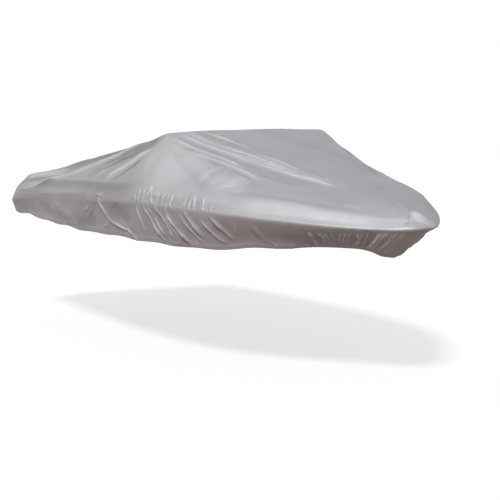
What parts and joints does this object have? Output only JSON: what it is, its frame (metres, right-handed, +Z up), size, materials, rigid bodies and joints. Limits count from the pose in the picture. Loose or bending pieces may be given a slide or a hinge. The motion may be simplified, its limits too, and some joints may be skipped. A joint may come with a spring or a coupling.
{
  "type": "boat cover",
  "caption": "Fitted cover for a small open boat: one thin sheet, square at the stern and pointed at the bow, raised to a cross ridge amidships and gathered in under the sides at its hem.",
  "frame": {"origin": "on the underside of the cloth at the middle of its cross ridge, the highest place of what holds it up", "axes": "+X towards the bow end, +Y to the left-hand (port) side, +Z up"},
  "size_m": [5.0719, 2.0898, 0.817],
  "materials": {
    "coated_cloth": "silver-grey coated plain-weave polyester with a faint sheen"
  },
  "bodies": {
    "root": {"cover_cloth": "coated_cloth"}
  },
  "joints": []
}
